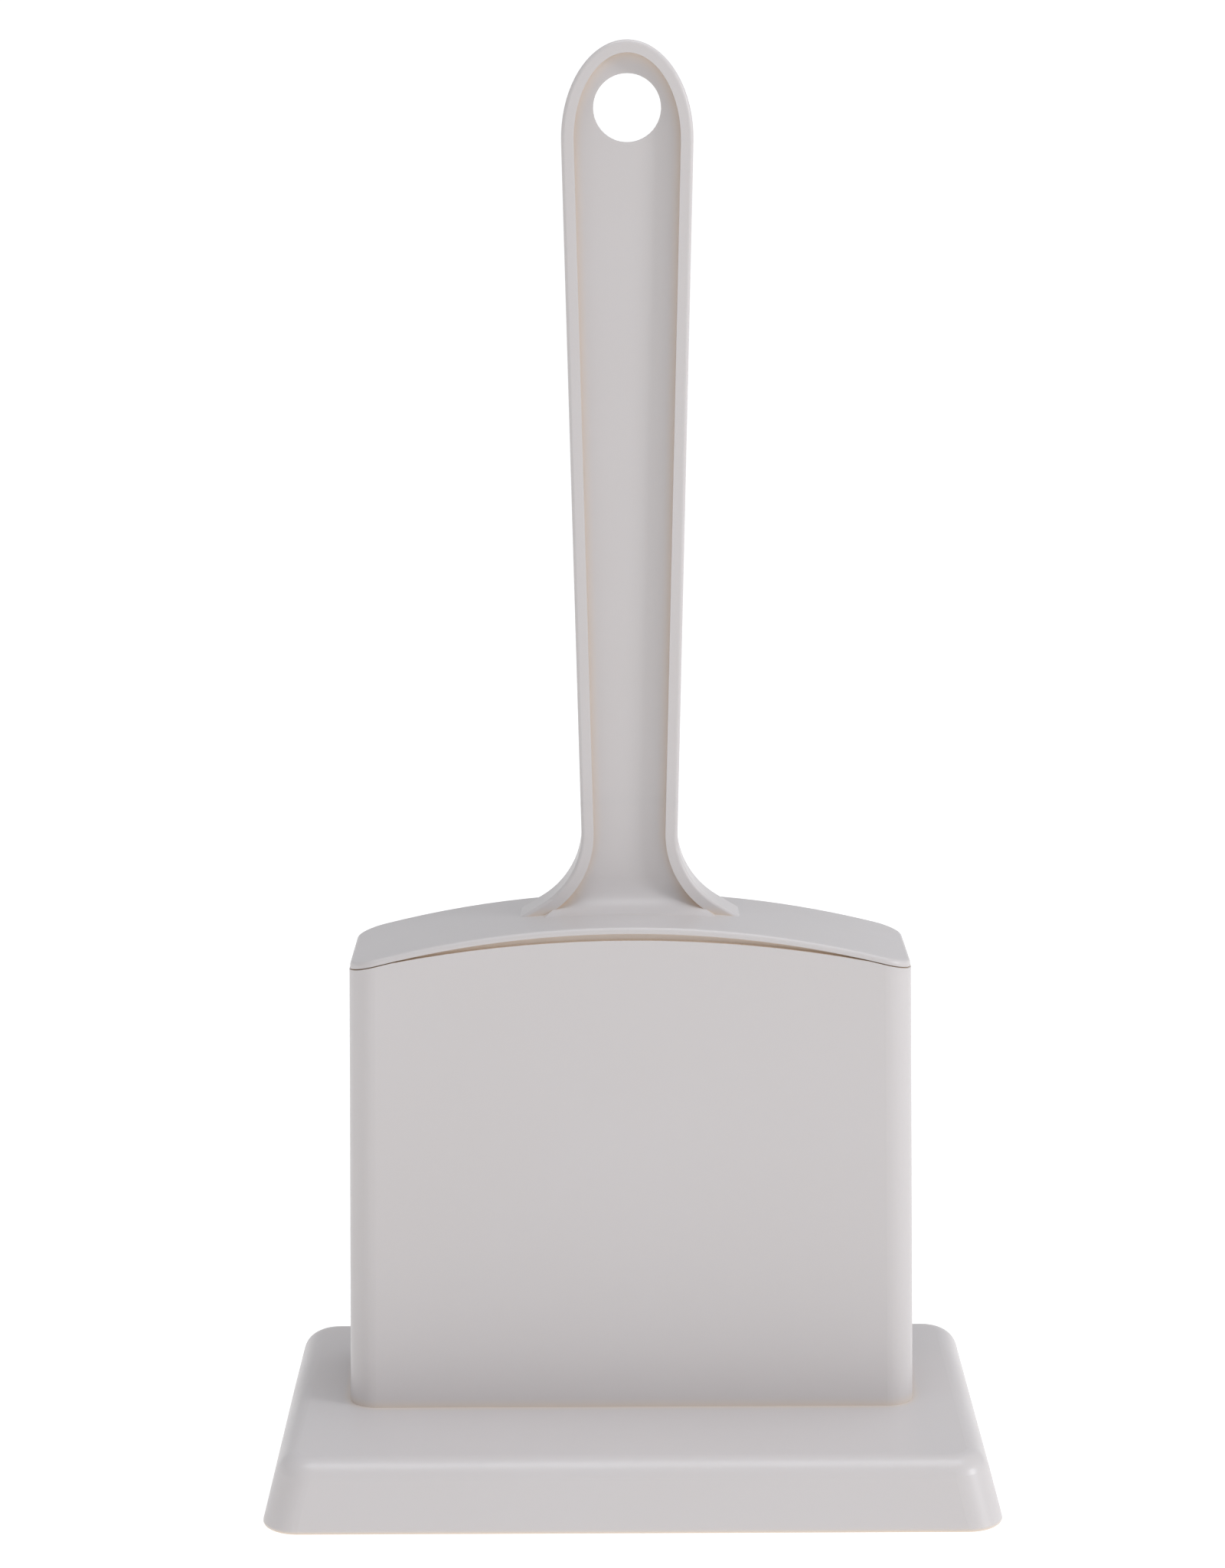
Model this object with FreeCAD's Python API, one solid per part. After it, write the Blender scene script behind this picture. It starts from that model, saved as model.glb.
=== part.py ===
"""Litter scoop standing blade-down in its holder.

The holder is an upright sleeve in a flared foot, closed below by a catch tray. The scoop's shoulder lies over
the sleeve's arched rim like a lid, its slotted pan hangs inside, and its handle stands up from it.
Millimetres, +Z up, origin at the centre of the foot's bottom face, front towards -Y.
"""

import FreeCAD, Part

import math
import os

from FreeCAD import Vector

# Foot of the holder: a low frustum with rounded plan corners and a soft top edge.
FOOT_WIDTH = 142.0
FOOT_DEPTH = 86.0
FOOT_HEIGHT = 13.3
FOOT_FLARE = 3.5
FOOT_CORNER = 7.0
FOOT_TOP_EDGE = 4.5
FOOT_BOTTOM_EDGE = 0.6

# Sleeve of the holder: an upright box that narrows slightly towards its arched rim.
SLEEVE_Y = 6.3
SLEEVE_RIM_WIDTH = 109.2
SLEEVE_RIM_DEPTH = 31.2
SLEEVE_DRAFT = 1.4
SLEEVE_CORNER = 5.4
WALL = 2.2
FLANGE_REACH = 2.4
FLANGE_THICKNESS = 2.0

# Arch of the rim and of the scoop's shoulder: cylinders about one axis along Y.
ARCH_RADIUS = 200.0
ARCH_TOP = 110.3
SHOULDER_EDGE = 1.2
SEAT_GAP = 0.2
RELIEF_RADIUS = 250.0
RELIEF_DEPTH = 1.15
RELIEF_REACH = 1.1

# Stop posts inside the foot, and the catch tray that presses into them from below.
POST_X = 58.0
POST_Y = 30.0
POST_RADIUS = 3.2
PIN_RADIUS = 1.3
PIN_LENGTH = 6.0
TRAY_UNDERSIDE = 1.0
TRAY_THICKNESS = 2.0
TRAY_CLEARANCE = 0.35
COLLAR_TOP = 12.0
COLLAR_WALL = 1.6

# Pan of the scoop.
PAN_CLEARANCE = 0.9
PAN_FLOOR = 2.0
PAN_WALL = 1.8
PAN_TAPER = 3.0
PAN_TIP_Z = 17.0
PAN_TIP_CORNER = 15.0
PAN_OUTER_EDGE = 2.4
PAN_INNER_EDGE = 3.0
TIP_LIP = 0.7
SHOULDER_THICKNESS = 2.4
ROOF_EDGE_Z = 104.0
RAKE_TOP_Z = 88.0
TIP_BEVEL_LENGTH = 9.0
TIP_BEVEL_DEPTH = 1.2
SLOT_COUNT = 5
SLOT_WIDTH = 8.0
SLOT_PITCH = 16.0
SLOT_LOW_Z = 33.0
SLOT_HIGH_Z = 92.0

# Handle of the scoop: an I section that tapers to a neck and flares into the shoulder.
HANDLE_FRONT_Y = 4.8
HANDLE_THICKNESS = 9.0
HANDLE_HALF_WIDTH = 12.55
HANDLE_CROWN_Z = 260.0
HANDLE_CROWN_RISE = 18.5
NECK_HALF_WIDTH = 9.45
NECK_Z = 126.2
FLARE_RADIUS = 16.5
FLARE_ANGLE = 60.0
RIM_WIDTH = 2.4
RECESS_DEPTH = 2.8
LIP_EDGE = 0.7
ROOT_RADIUS = 6.0
GRIP_LOW_Z = 132.0
HANGING_HOLE_Z = 265.8
HANGING_HOLE_RADIUS = 6.45

AXIS_Z = ARCH_TOP - ARCH_RADIUS
RIM_ARCH_RADIUS = ARCH_RADIUS - SHOULDER_EDGE - SEAT_GAP
SLEEVE_RIM_Z = ARCH_TOP + 2.0
SLEEVE_TAPER_HEIGHT = SLEEVE_RIM_Z - FOOT_HEIGHT
RIGHT = Vector(1, 0, 0)
BACK = Vector(0, 1, 0)
UP = Vector(0, 0, 1)


def rounded_rectangle(width, depth, radius, z, y_centre=0.0):
    """Closed wire of a rectangle with round corners, in the plane at height z."""
    x, y, r = width / 2, depth / 2, radius
    k = r * (1 - math.sqrt(0.5))

    def p(px, py):
        return Vector(px, y_centre + py, z)

    edges = [
        Part.LineSegment(p(-x + r, -y), p(x - r, -y)),
        Part.Arc(p(x - r, -y), p(x - k, -y + k), p(x, -y + r)),
        Part.LineSegment(p(x, -y + r), p(x, y - r)),
        Part.Arc(p(x, y - r), p(x - k, y - k), p(x - r, y)),
        Part.LineSegment(p(x - r, y), p(-x + r, y)),
        Part.Arc(p(-x + r, y), p(-x + k, y - k), p(-x, y - r)),
        Part.LineSegment(p(-x, y - r), p(-x, -y + r)),
        Part.Arc(p(-x, -y + r), p(-x + k, -y + k), p(-x + r, -y)),
    ]
    return Part.Wire([e.toShape() for e in edges])


def frustum(lower, upper):
    """Solid between two rounded rectangles."""
    return Part.makeLoft([lower, upper], True, True)


def edges_where(shape, test):
    """Edges of the shape whose bounding box passes the test."""
    return [e for e in shape.Edges if test(e.BoundBox)]


def arch_cylinder(radius):
    """Cylinder about the arch's axis, long enough to cover the sleeve front to back."""
    length = 200.0
    start = Vector(0, SLEEVE_Y - length / 2, AXIS_Z)
    return Part.makeCylinder(radius, length, start, BACK)


def prism_y(wire, y_from, y_to):
    """Solid made by sweeping a wire, drawn in the XZ plane at Y = 0, from y_from to y_to."""
    face = Part.Face(wire)
    face.translate(Vector(0, y_from, 0))
    return face.extrude(Vector(0, y_to - y_from, 0))


def sleeve_section(z, inset=0.0):
    """Outline of the sleeve at height z, moved inwards by the inset."""
    grow = SLEEVE_DRAFT * (SLEEVE_RIM_Z - z) / SLEEVE_TAPER_HEIGHT
    width = SLEEVE_RIM_WIDTH + 2 * grow - 2 * inset
    depth = SLEEVE_RIM_DEPTH + 2 * grow - 2 * inset
    return rounded_rectangle(width, depth, SLEEVE_CORNER - inset, z, SLEEVE_Y)


def foot_section(z, inset=0.0):
    """Outline of the foot at height z, moved inwards by the inset."""
    shrink = FOOT_FLARE * z / FOOT_HEIGHT
    width = FOOT_WIDTH - 2 * shrink - 2 * inset
    depth = FOOT_DEPTH - 2 * shrink - 2 * inset
    return rounded_rectangle(width, depth, FOOT_CORNER - 0.5 * inset, z)


def foot_body():
    """Outer solid of the foot with its soft top edge and broken bottom edge."""
    body = frustum(foot_section(0), foot_section(FOOT_HEIGHT))
    tops = edges_where(body, lambda b: b.ZMin > FOOT_HEIGHT - 0.01)
    body = body.makeFillet(FOOT_TOP_EDGE, tops)
    bottoms = edges_where(body, lambda b: b.ZMax < 0.01)
    return body.makeFillet(FOOT_BOTTOM_EDGE, bottoms)


def rim_relief():
    """Cutter for the shallow relief along the front rim; its flatter arch runs out before both corners."""
    low_z = AXIS_Z + RIM_ARCH_RADIUS - RELIEF_DEPTH
    length = RELIEF_REACH + 20.0
    front = SLEEVE_Y - SLEEVE_RIM_DEPTH / 2 + RELIEF_REACH
    block = Part.makeBox(SLEEVE_RIM_WIDTH, length, 30.0, Vector(-SLEEVE_RIM_WIDTH / 2, front - length, 90.0))
    axis = Vector(0, front - length - 1, low_z - RELIEF_RADIUS)
    return block.cut(Part.makeCylinder(RELIEF_RADIUS, length + 2, axis, BACK))


def sleeve():
    """Upright tube with an arched rim, a flange near its lower end and a relief along the front rim."""
    low = TRAY_UNDERSIDE + TRAY_THICKNESS
    flange_top = FOOT_HEIGHT - WALL
    flange_low = flange_top - FLANGE_THICKNESS
    tube = frustum(sleeve_section(low), sleeve_section(SLEEVE_RIM_Z))
    tube = tube.common(arch_cylinder(RIM_ARCH_RADIUS))
    flange = frustum(sleeve_section(flange_low, -FLANGE_REACH), sleeve_section(flange_top, -FLANGE_REACH))
    hollow = frustum(sleeve_section(-1, WALL), sleeve_section(SLEEVE_RIM_Z, WALL))
    return tube.fuse(flange).cut(hollow).cut(rim_relief()).removeSplitter()


def foot():
    """Flared foot, hollow from below, with a fitted opening for the sleeve and four stop posts."""
    hollow = frustum(foot_section(-1, WALL), foot_section(FOOT_HEIGHT - WALL, WALL))
    opening = frustum(sleeve_section(-1), sleeve_section(FOOT_HEIGHT + 1))
    places = [(x, y) for x in (-POST_X, POST_X) for y in (-POST_Y, POST_Y)]
    posts = [post(x, y) for x, y in places]
    holes = [post_hole(x, y) for x, y in places]
    return foot_body().cut(hollow).fuse(posts).cut(holes).cut(opening).removeSplitter()


def post(x, y):
    """Stop post from the underside of the foot's top wall down to the catch tray."""
    low = TRAY_UNDERSIDE + TRAY_THICKNESS
    return Part.makeCylinder(POST_RADIUS, FOOT_HEIGHT - WALL - low + 0.5, Vector(x, y, low))


def post_hole(x, y):
    """Blind hole in a post for the catch tray's pin."""
    low = TRAY_UNDERSIDE + TRAY_THICKNESS
    return Part.makeCylinder(PIN_RADIUS, PIN_LENGTH + 0.4, Vector(x, y, low))


def catch_tray():
    """Plate that closes the foot from below, with a collar inside the sleeve and four press-in pins."""
    low, high = TRAY_UNDERSIDE, TRAY_UNDERSIDE + TRAY_THICKNESS
    inset = WALL + TRAY_CLEARANCE
    plate = frustum(foot_section(low, inset), foot_section(high, inset))
    outer = frustum(sleeve_section(high - 0.5, inset), sleeve_section(COLLAR_TOP, inset))
    inner_inset = inset + COLLAR_WALL
    inner = frustum(sleeve_section(high, inner_inset), sleeve_section(COLLAR_TOP + 1, inner_inset))
    tray = plate.fuse(outer).cut(inner)
    pins = [pin(x, y, high) for x in (-POST_X, POST_X) for y in (-POST_Y, POST_Y)]
    return tray.fuse(pins).removeSplitter()


def pin(x, y, z):
    """Round pin with a broken tip."""
    body = Part.makeCylinder(PIN_RADIUS, PIN_LENGTH, Vector(x, y, z))
    return body.makeChamfer(0.3, edges_where(body, lambda b: b.ZMin > z + PIN_LENGTH - 0.01))


def pan_outline(inset=0.0):
    """Front view of the pan: tapering sides that run into round corners and a straight tip."""
    top = SLEEVE_RIM_Z - 4
    lean = math.atan(PAN_TAPER / (top - PAN_TIP_Z))
    half_top = SLEEVE_RIM_WIDTH / 2 - WALL - PAN_CLEARANCE - inset / math.cos(lean)
    r = PAN_TIP_CORNER - inset
    tip_z = PAN_TIP_Z + inset
    corner_z = tip_z + r
    corner_x = half_top - math.tan(lean) * (top - corner_z) - r / math.cos(lean)
    edges = [
        Part.LineSegment(Vector(-half_top, 0, top), Vector(half_top, 0, top)),
        Part.LineSegment(Vector(-corner_x, 0, tip_z), Vector(corner_x, 0, tip_z)),
    ]
    for side in (-1, 1):

        def on_corner(angle):
            return Vector(side * (corner_x + r * math.cos(angle)), 0, corner_z + r * math.sin(angle))

        start, middle, end = -lean, -(lean + math.pi / 2) / 2, -math.pi / 2
        edges.append(Part.LineSegment(Vector(side * half_top, 0, top), on_corner(start)))
        edges.append(Part.Arc(on_corner(start), on_corner(middle), on_corner(end)))
    return Part.Wire(Part.__sortEdges__([e.toShape() for e in edges]))


def pan_front_y():
    """Y of the pan floor's outer face."""
    return SLEEVE_Y - SLEEVE_RIM_DEPTH / 2 + WALL + PAN_CLEARANCE


def pan_back_y():
    """Y of the pan walls' free edges at the shoulder."""
    return SLEEVE_Y + SLEEVE_RIM_DEPTH / 2 - WALL - PAN_CLEARANCE


def pan_body():
    """Open pan: floor, side walls that fall away towards the tip, and a roof under the shoulder."""
    front, back = pan_front_y(), pan_back_y()
    inner = front + PAN_FLOOR
    outer = prism_y(pan_outline(), front, back)
    outer = outer.makeFillet(PAN_OUTER_EDGE, floor_edges(outer, front))
    hollow = prism_y(pan_outline(PAN_WALL), inner, back + 5)
    hollow = hollow.makeFillet(PAN_INNER_EDGE, floor_edges(hollow, inner))
    hollow = hollow.common(arch_cylinder(ARCH_RADIUS - SHOULDER_THICKNESS))
    return outer.cut(hollow).cut(pan_rake())


def floor_edges(shape, y):
    """Side and tip edges of a prism's front face."""
    return edges_where(shape, lambda b: b.YMax < y + 0.01 and b.ZMin < ROOF_EDGE_Z)


def pan_rake():
    """Cutter that lowers the side walls from full depth at the shoulder to nothing at the tip."""
    front, back = pan_front_y(), pan_back_y()
    low = Vector(0, front + PAN_FLOOR + TIP_LIP, PAN_TIP_Z + 2)
    high = Vector(0, back, RAKE_TOP_Z)
    middle = (low + high) * 0.5 + Vector(0, 4.5, -8.0)
    far = Vector(0, back + 20, RAKE_TOP_Z)
    below = Vector(0, back + 20, PAN_TIP_Z - 20)
    under = Vector(0, low.y, PAN_TIP_Z - 20)
    edges = [
        Part.Arc(low, middle, high),
        Part.LineSegment(high, far),
        Part.LineSegment(far, below),
        Part.LineSegment(below, under),
        Part.LineSegment(under, low),
    ]
    face = Part.Face(Part.Wire([e.toShape() for e in edges]))
    face.translate(Vector(-100, 0, 0))
    return face.extrude(Vector(200, 0, 0))


def tip_bevel():
    """Wedge that thins the pan's tip from inside."""
    inner = pan_front_y() + PAN_FLOOR
    low = PAN_TIP_Z
    corners = [
        (inner - TIP_BEVEL_DEPTH, low - 1),
        (inner + 5, low - 1),
        (inner + 5, low + TIP_BEVEL_LENGTH),
        (inner, low + TIP_BEVEL_LENGTH),
    ]
    points = [Vector(-100, y, z) for y, z in corners + corners[:1]]
    return Part.Face(Part.makePolygon(points)).extrude(Vector(200, 0, 0))


def floor_slot(x):
    """Cutter for one long slot through the pan's floor."""
    r = SLOT_WIDTH / 2
    y = pan_front_y() - 2
    depth = PAN_FLOOR + 4
    low = Part.makeCylinder(r, depth, Vector(x, y, SLOT_LOW_Z + r), BACK)
    high = Part.makeCylinder(r, depth, Vector(x, y, SLOT_HIGH_Z - r), BACK)
    middle = Part.makeBox(SLOT_WIDTH, depth, SLOT_HIGH_Z - SLOT_LOW_Z - 2 * r)
    middle.translate(Vector(x - r, y, SLOT_LOW_Z + r))
    return low.fuse([high, middle]).removeSplitter()


def shoulder():
    """Arched plate that lies over the sleeve's rim, flush with the sleeve and soft along its top edge."""
    outline = rounded_rectangle(SLEEVE_RIM_WIDTH, SLEEVE_RIM_DEPTH, SLEEVE_CORNER, 90.0, SLEEVE_Y)
    block = Part.Face(outline).extrude(UP * 30)
    plate = block.common(arch_cylinder(ARCH_RADIUS)).cut(arch_cylinder(ARCH_RADIUS - SHOULDER_EDGE))
    plate = plate.removeSplitter()
    top = max(plate.Faces, key=lambda f: f.CenterOfMass.z)
    return plate.makeFillet(SHOULDER_EDGE * 0.7, top.Edges)


def scoop_blade():
    """Slotted pan of the scoop, up to the shoulder's underside."""
    pan = pan_body().cut(tip_bevel())
    pan = pan.common(arch_cylinder(ARCH_RADIUS - SHOULDER_EDGE))
    slots = [floor_slot((i - (SLOT_COUNT - 1) / 2) * SLOT_PITCH) for i in range(SLOT_COUNT)]
    return pan.cut(slots).removeSplitter()


def side_line(half_width, rise, neck, drop):
    """Slope and intercept of the line x = slope * z + intercept through the neck, tangent to the crown."""
    gap = drop**2 - rise**2
    root = math.sqrt((neck * drop) ** 2 + gap * (half_width**2 - neck**2))
    slope = (root - neck * drop) / gap
    return slope, neck + slope * drop


def handle_outline(inset=0.0):
    """Front view of the handle: elliptical crown, tapering sides and flared root."""
    half_width, rise = HANDLE_HALF_WIDTH - inset, HANDLE_CROWN_RISE - inset
    neck, flare = NECK_HALF_WIDTH - inset, FLARE_RADIUS + inset
    slope, intercept = side_line(half_width, rise, neck, HANDLE_CROWN_Z - NECK_Z)
    crown_x = half_width**2 / intercept
    crown_z = HANDLE_CROWN_Z - slope * rise**2 / intercept
    sweep = math.acos(-slope * rise / intercept)
    centre = Vector(0, 0, HANDLE_CROWN_Z)
    ellipse = Part.Ellipse(centre + UP * rise, centre + RIGHT * half_width, centre)
    edges = [Part.ArcOfEllipse(ellipse, -sweep, sweep).toShape()]
    lean = math.atan(slope)
    flare_x = neck + flare * math.cos(lean)
    flare_z = NECK_Z - flare * math.sin(lean)
    end = math.radians(FLARE_ANGLE)
    low_z = 100.0
    for side in (-1, 1):

        def on_flare(angle):
            x = flare_x - flare * math.cos(angle - lean)
            return Vector(side * x, 0, flare_z - flare * math.sin(angle - lean))

        start, root = on_flare(0), on_flare(end)
        reach = (root.z - low_z) * math.tan(end - lean)
        foot = Vector(root.x + side * reach, 0, low_z)
        edges.append(Part.LineSegment(Vector(side * crown_x, 0, crown_z), start).toShape())
        edges.append(Part.Arc(start, on_flare(end / 2), root).toShape())
        edges.append(Part.LineSegment(root, foot).toShape())
    edges.append(Part.LineSegment(Vector(-foot.x, 0, low_z), foot).toShape())
    return Part.Wire(Part.__sortEdges__(edges))


def handle_frame():
    """Raised border of the handle, with soft lips front and back."""
    front, back = HANDLE_FRONT_Y, HANDLE_FRONT_Y + HANDLE_THICKNESS
    outer = prism_y(handle_outline(), front, back)
    outer = outer.makeFillet(LIP_EDGE, lip_edges(outer, front, back))
    inner = prism_y(handle_outline(RIM_WIDTH), front - 1, back + 1)
    return outer.cut(inner)


def lip_edges(shape, front, back):
    """Edges round the front and back faces of a prism, apart from its lowest ones."""
    return edges_where(shape, lambda b: (b.YMax < front + 0.01 or b.YMin > back - 0.01) and b.ZMax > 101)


def handle_web():
    """Thin middle of the handle, curving out into the shoulder's surface at its root."""
    front = HANDLE_FRONT_Y + RECESS_DEPTH
    back = HANDLE_FRONT_Y + HANDLE_THICKNESS - RECESS_DEPTH
    surface, top, r = ARCH_TOP, 290.0, ROOT_RADIUS
    buried = ARCH_TOP - SHOULDER_EDGE / 2
    k = r * (1 - math.sqrt(0.5))
    feather = 0.008
    run = math.sqrt(2 * r * feather)
    edges = [
        Part.LineSegment(Vector(0, front, surface + r), Vector(0, front, top)),
        Part.LineSegment(Vector(0, front, top), Vector(0, back, top)),
        Part.LineSegment(Vector(0, back, top), Vector(0, back, surface + r)),
        Part.Arc(
            Vector(0, back, surface + r),
            Vector(0, back + k, surface + k),
            Vector(0, back + r - run, surface + feather),
        ),
        Part.LineSegment(Vector(0, back + r - run, surface + feather), Vector(0, back + r - run, buried)),
        Part.LineSegment(Vector(0, back + r - run, buried), Vector(0, front - r + run, buried)),
        Part.LineSegment(Vector(0, front - r + run, buried), Vector(0, front - r + run, surface + feather)),
        Part.Arc(
            Vector(0, front - r + run, surface + feather),
            Vector(0, front - k, surface + k),
            Vector(0, front, surface + r),
        ),
    ]
    profile = Part.Face(Part.Wire([e.toShape() for e in edges]))
    half_turn = 12.0
    profile.rotate(Vector(0, 0, AXIS_Z), BACK, -half_turn)
    web = profile.revolve(Vector(0, 0, AXIS_Z), BACK, 2 * half_turn)
    return web.common(prism_y(handle_outline(RIM_WIDTH - 0.3), front - r, back + r))


def shoulder_and_grip():
    """Arched shoulder and the grip on it, with its border, web and hanging hole."""
    frame = handle_frame().cut(arch_cylinder(ARCH_RADIUS - SHOULDER_EDGE / 2))
    handle = shoulder().fuse([frame, handle_web()]).removeSplitter()
    hole = Part.makeCylinder(HANGING_HOLE_RADIUS, 60, Vector(0, -20, HANGING_HOLE_Z), BACK)
    return handle.cut(hole)


def between(shape, low_z, high_z):
    """Part of a shape between two heights."""
    slab = Part.makeBox(200, 200, high_z - low_z, Vector(-100, -100, low_z))
    return shape.common(slab).removeSplitter()


def scoop_shoulder():
    """Arched shoulder and the flared root of the grip, up to the neck."""
    return between(shoulder_and_grip(), 50.0, GRIP_LOW_Z)


def scoop_grip():
    """Grip from the neck up, with the hanging hole."""
    return between(shoulder_and_grip(), GRIP_LOW_Z, 300.0)


def main():
    os.makedirs("parts", exist_ok=True)
    pieces = {
        "sleeve": sleeve(),
        "foot": foot(),
        "catch_tray": catch_tray(),
        "scoop_blade": scoop_blade(),
        "scoop_shoulder": scoop_shoulder(),
        "scoop_grip": scoop_grip(),
    }
    for name, shape in pieces.items():
        print(name, "solids", len(shape.Solids), "valid", shape.isValid(), "volume", round(shape.Volume, 1))
        shape.exportStep("parts/" + name + ".step")


main()
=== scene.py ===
"""Looks of the litter scoop standing in its holder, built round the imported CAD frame."""

import math

import bpy
from mathutils import Matrix, Vector


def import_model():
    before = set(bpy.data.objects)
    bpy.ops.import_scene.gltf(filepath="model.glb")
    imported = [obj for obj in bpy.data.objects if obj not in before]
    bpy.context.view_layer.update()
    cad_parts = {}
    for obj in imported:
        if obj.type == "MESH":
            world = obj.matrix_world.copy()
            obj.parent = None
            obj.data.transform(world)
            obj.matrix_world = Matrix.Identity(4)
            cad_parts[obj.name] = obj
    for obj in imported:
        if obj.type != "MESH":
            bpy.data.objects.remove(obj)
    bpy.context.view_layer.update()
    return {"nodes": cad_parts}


IMAGE_HEIGHT = 2048
FOCAL_PIXELS = 4700
SENSOR = 36.0
CAMERA_POSITION = Vector((-0.0033, -0.6858, 0.2716))
CAMERA_PITCH = 11.12
CAMERA_ROLL = -0.24

PLASTIC_COLOUR = (0.615, 0.580, 0.574)
PLASTIC_WARM = (0.598, 0.560, 0.546)
# Painted warm shade in narrow gaps and inner corners, driven by ambient occlusion.
PAINTED_SHADE_COLOUR = (0.76, 0.62, 0.49)
PAINTED_SHADE_REACH = 0.0035
PAINTED_SHADE_OPEN = 0.80
PAINTED_SHADE_SHUT = 0.15
GLOSS_ROUGHNESS = 0.36
ROUGHNESS_SPREAD = 0.035
WARM_SHARE = 0.30

LIGHT_COLOUR = (0.94, 0.965, 1.0)
LIGHT_TARGET = (0, 0, 0.06)
WORLD_STRENGTH = 0.45
FLOOR_TONE = 0.24
FLOOR_GLOW = 0.91
FLOOR_RADIUS = 12.0
FLOOR_BEND = 1.0
FLOOR_WALL_TOP = 1.3
FLOOR_SEGMENTS = 96
FLOOR_RINGS = 6
BEND_STEPS = 12


def make_camera():
    """Camera at the height of the hanging hole, looking slightly down at the front."""
    data = bpy.data.cameras.new("camera")
    data.sensor_width = SENSOR
    data.lens = FOCAL_PIXELS * SENSOR / IMAGE_HEIGHT
    data.clip_start = 0.01
    data.clip_end = 50
    camera = bpy.data.objects.new("camera", data)
    bpy.context.scene.collection.objects.link(camera)
    tilt = Matrix.Rotation(math.radians(90 - CAMERA_PITCH), 4, "X")
    roll = Matrix.Rotation(math.radians(CAMERA_ROLL), 4, "Z")
    camera.matrix_world = Matrix.Translation(CAMERA_POSITION) @ tilt @ roll
    bpy.context.scene.camera = camera


class Nodes:
    """Short way to add and link shader nodes."""

    def __init__(self, name):
        self.material = bpy.data.materials.new(name)
        self.material.use_nodes = True
        self.tree = self.material.node_tree
        self.tree.nodes.clear()

    def add(self, kind):
        return self.tree.nodes.new(kind)

    def link(self, start, end):
        self.tree.links.new(start, end)


def noise(nodes, coordinates, scale, detail):
    """Noise texture in object coordinates; scale is in cells per metre."""
    texture = nodes.add("ShaderNodeTexNoise")
    texture.inputs["Scale"].default_value = scale
    texture.inputs["Detail"].default_value = detail
    nodes.link(coordinates, texture.inputs["Vector"])
    return texture.outputs["Fac"]


def map_range(nodes, value, low, high, to_low, to_high):
    """Linear change of range, clamped."""
    node = nodes.add("ShaderNodeMapRange")
    for key, number in zip(("From Min", "From Max", "To Min", "To Max"), (low, high, to_low, to_high)):
        node.inputs[key].default_value = number
    nodes.link(value, node.inputs["Value"])
    return node.outputs["Result"]


def mix_colours(nodes, factor, first, second):
    """Mix of a linked or plain first colour and a plain second one."""
    node = nodes.add("ShaderNodeMix")
    node.data_type = "RGBA"
    start, end = [socket for socket in node.inputs if socket.type == "RGBA"]
    if isinstance(first, tuple):
        start.default_value = (*first, 1)
    else:
        nodes.link(first, start)
    end.default_value = (*second, 1)
    nodes.link(factor, node.inputs["Factor"])
    return [socket for socket in node.outputs if socket.type == "RGBA"][0]


def painted_crevice_shade(nodes, colour):
    """Painted warm shade: a warmer colour in narrow gaps and inner corners, standing in for light
    bounced inside them.
    """
    occlusion = nodes.add("ShaderNodeAmbientOcclusion")
    occlusion.inputs["Distance"].default_value = PAINTED_SHADE_REACH
    factor = map_range(nodes, occlusion.outputs["AO"], PAINTED_SHADE_SHUT, PAINTED_SHADE_OPEN, 1.0, 0.0)
    return mix_colours(nodes, factor, colour, PAINTED_SHADE_COLOUR)


def bump(nodes, height, strength, distance, normal=None):
    """Bump from a height, on top of an earlier one where a normal is given."""
    node = nodes.add("ShaderNodeBump")
    node.inputs["Strength"].default_value = strength
    node.inputs["Distance"].default_value = distance
    nodes.link(height, node.inputs["Height"])
    if normal:
        nodes.link(normal, node.inputs["Normal"])
    return node.outputs["Normal"]


def plastic_shader(nodes):
    """Semi-gloss shader that lets a little light through."""
    shader = nodes.add("ShaderNodeBsdfPrincipled")
    shader.inputs["IOR"].default_value = 1.49
    shader.inputs["Specular IOR Level"].default_value = 0.5
    shader.inputs["Subsurface Weight"].default_value = 0.06
    shader.inputs["Subsurface Scale"].default_value = 0.004
    shader.inputs["Subsurface Radius"].default_value = (1.0, 0.8, 0.65)
    return shader


def plastic(name, lightness=1.0, roughness=GLOSS_ROUGHNESS):
    """Moulded plastic with a faint flow of tone, an uneven sheen, a fine eggshell surface and painted
    warm shade in gaps and inner corners.
    """
    plain = tuple(channel * lightness for channel in PLASTIC_COLOUR)
    warm = tuple(channel * lightness for channel in PLASTIC_WARM)
    low_roughness, high_roughness = roughness - ROUGHNESS_SPREAD, roughness + ROUGHNESS_SPREAD
    nodes = Nodes(name)
    output = nodes.add("ShaderNodeOutputMaterial")
    shader = plastic_shader(nodes)
    nodes.link(shader.outputs["BSDF"], output.inputs["Surface"])
    place = nodes.add("ShaderNodeTexCoord").outputs["Object"]
    flow = map_range(nodes, noise(nodes, place, 22.0, 3.0), 0.35, 0.65, 0.0, WARM_SHARE)
    # The base colour gets painted warm shade in narrow gaps and inner corners.
    colour = painted_crevice_shade(nodes, mix_colours(nodes, flow, plain, warm))
    sheen = map_range(nodes, noise(nodes, place, 60.0, 4.0), 0.3, 0.7, low_roughness, high_roughness)
    grain = bump(nodes, noise(nodes, place, 2600.0, 2.0), 0.06, 0.00004)
    waves = bump(nodes, noise(nodes, place, 90.0, 1.0), 0.05, 0.0003, grain)
    nodes.link(colour, shader.inputs["Base Color"])
    nodes.link(sheen, shader.inputs["Roughness"])
    nodes.link(waves, shader.inputs["Normal"])
    return nodes.material


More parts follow.
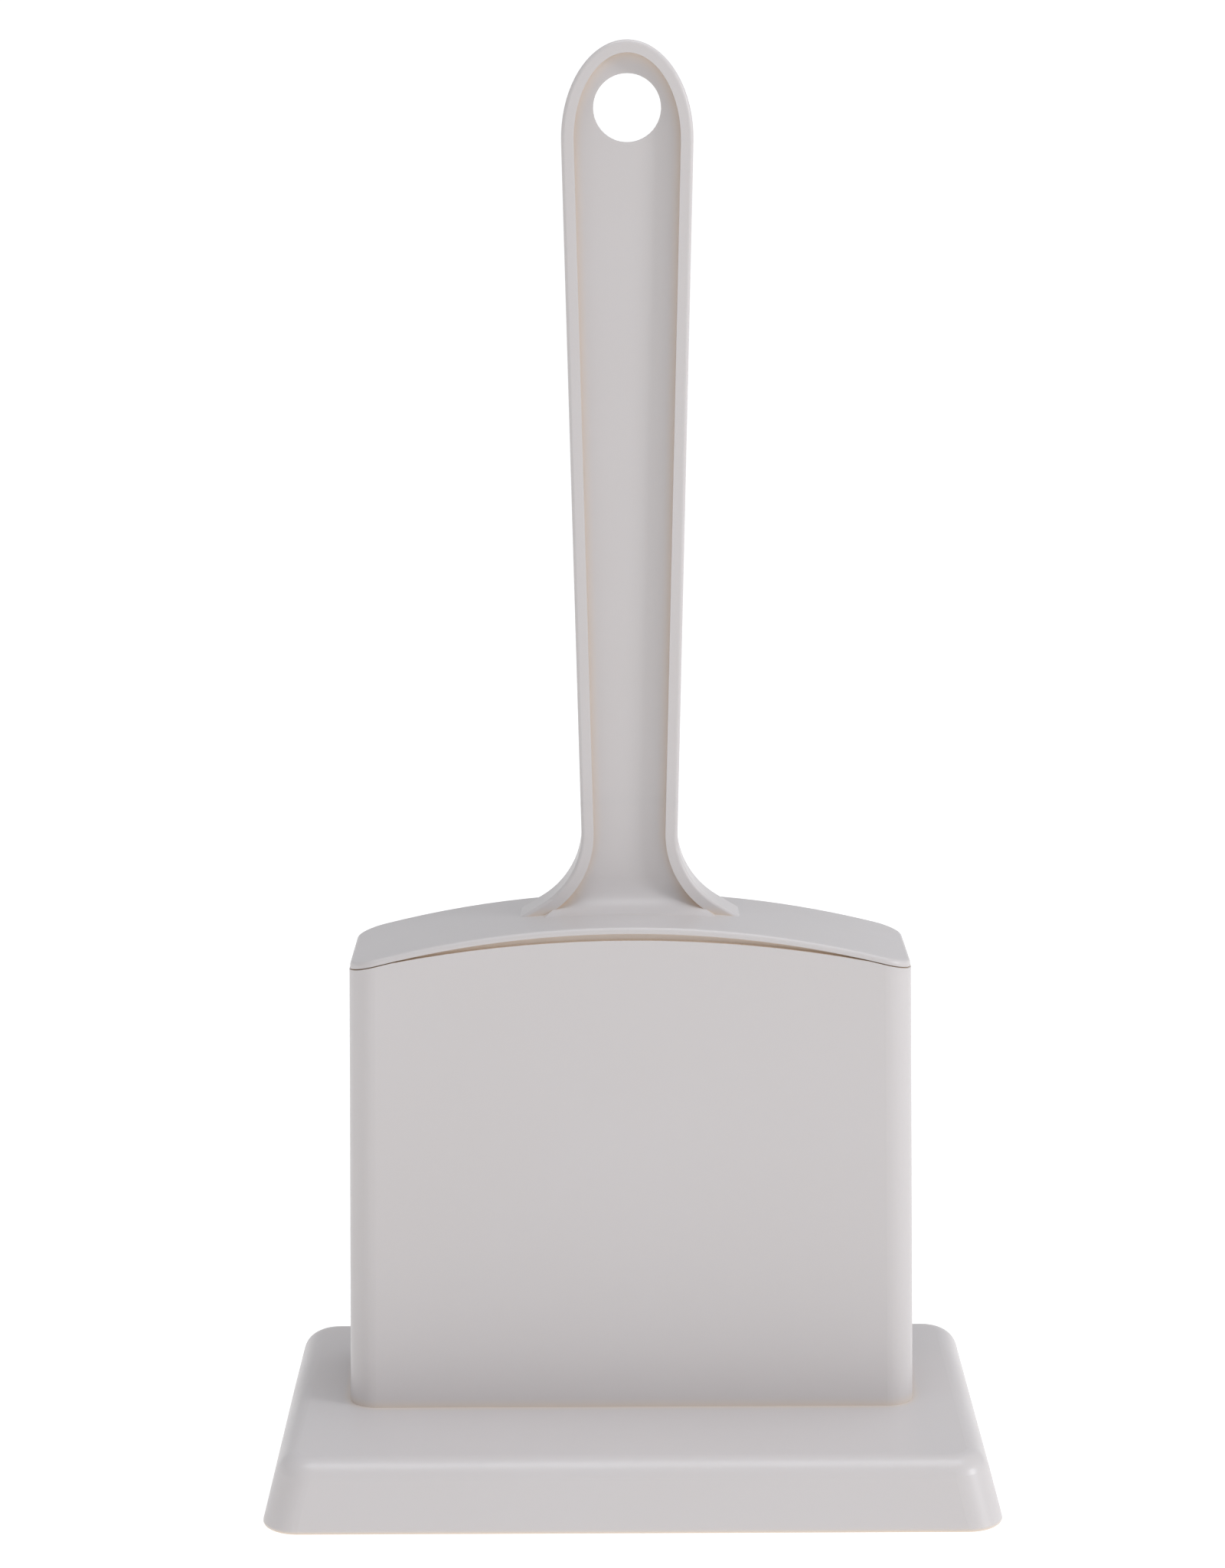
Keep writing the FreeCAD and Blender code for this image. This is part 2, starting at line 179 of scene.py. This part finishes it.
def floor_material():
    """Plain pale floor with an even glow."""
    nodes = Nodes("floor")
    output = nodes.add("ShaderNodeOutputMaterial")
    shader = nodes.add("ShaderNodeBsdfPrincipled")
    shader.inputs["Base Color"].default_value = (FLOOR_TONE, FLOOR_TONE, FLOOR_TONE, 1)
    shader.inputs["Roughness"].default_value = 0.9
    shader.inputs["Specular IOR Level"].default_value = 0.1
    shader.inputs["Emission Color"].default_value = (1.0, 1.0, 1.0, 1)
    shader.inputs["Emission Strength"].default_value = FLOOR_GLOW
    nodes.link(shader.outputs["BSDF"], output.inputs["Surface"])
    return nodes.material


def floor_profile():
    """Reach and height of each ring of the floor, from the middle outwards."""
    profile = [(FLOOR_RADIUS * i / FLOOR_RINGS, 0.0) for i in range(1, FLOOR_RINGS + 1)]
    for i in range(1, BEND_STEPS + 1):
        angle = math.pi / 2 * i / BEND_STEPS
        reach = FLOOR_RADIUS + FLOOR_BEND * math.sin(angle)
        profile.append((reach, FLOOR_BEND * (1 - math.cos(angle))))
    profile.append((FLOOR_RADIUS + FLOOR_BEND, FLOOR_WALL_TOP))
    return profile


def make_floor():
    """Wide round floor that curves up into a low wall, far from the object."""
    profile = floor_profile()
    count = FLOOR_SEGMENTS
    vertices = [(0.0, 0.0, 0.0)]
    for reach, height in profile:
        for i in range(count):
            turn = 2 * math.pi * i / count
            vertices.append((reach * math.cos(turn), reach * math.sin(turn), height))
    faces = [(0, 1 + i, 1 + (i + 1) % count) for i in range(count)]
    for ring in range(len(profile) - 1):
        low, high = 1 + ring * count, 1 + (ring + 1) * count
        for i in range(count):
            j = (i + 1) % count
            faces.append((low + i, high + i, high + j, low + j))
    mesh = bpy.data.meshes.new("floor")
    mesh.from_pydata(vertices, [], faces)
    mesh.shade_smooth()
    floor = bpy.data.objects.new("floor", mesh)
    floor.data.materials.append(floor_material())
    bpy.context.scene.collection.objects.link(floor)


def area_light(name, position, size, power):
    """Rectangular soft light aimed at the object's lower part."""
    data = bpy.data.lights.new(name, "AREA")
    data.shape = "RECTANGLE"
    data.size, data.size_y = size
    data.energy = power
    data.color = LIGHT_COLOUR
    light = bpy.data.objects.new(name, data)
    light.location = position
    light.rotation_euler = (Vector(LIGHT_TARGET) - Vector(position)).to_track_quat("-Z", "Y").to_euler()
    bpy.context.scene.collection.objects.link(light)


def make_lights():
    """Key light from the front right, a softbox overhead and an even pale world."""
    area_light("key", (1.35, -0.62, 0.62), (0.35, 0.35), 7.8)
    area_light("top", (0.10, -0.15, 1.6), (1.2, 0.8), 10.5)
    world = bpy.data.worlds.new("world")
    world.use_nodes = True
    background = world.node_tree.nodes["Background"]
    background.inputs["Color"].default_value = (*LIGHT_COLOUR, 1)
    background.inputs["Strength"].default_value = WORLD_STRENGTH
    bpy.context.scene.world = world
    bpy.context.scene.view_settings.view_transform = "Standard"


def main():
    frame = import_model()
    make_camera()
    make_floor()
    make_lights()
    scoop_finish = plastic("scoop_plastic", 0.97)
    finishes = {
        # The foot's plastic is painted 2 % lighter than the sleeve's to make up for the shade on its
        # top.
        "foot": plastic("foot_plastic", 1.02),
        "sleeve": plastic("sleeve_plastic", 1.0),
        "catch_tray": plastic("tray_plastic", 1.0, 0.5),
    }
    for name, node in frame["nodes"].items():
        node.data.materials.clear()
        node.data.materials.append(finishes.get(name, scoop_finish))


main()
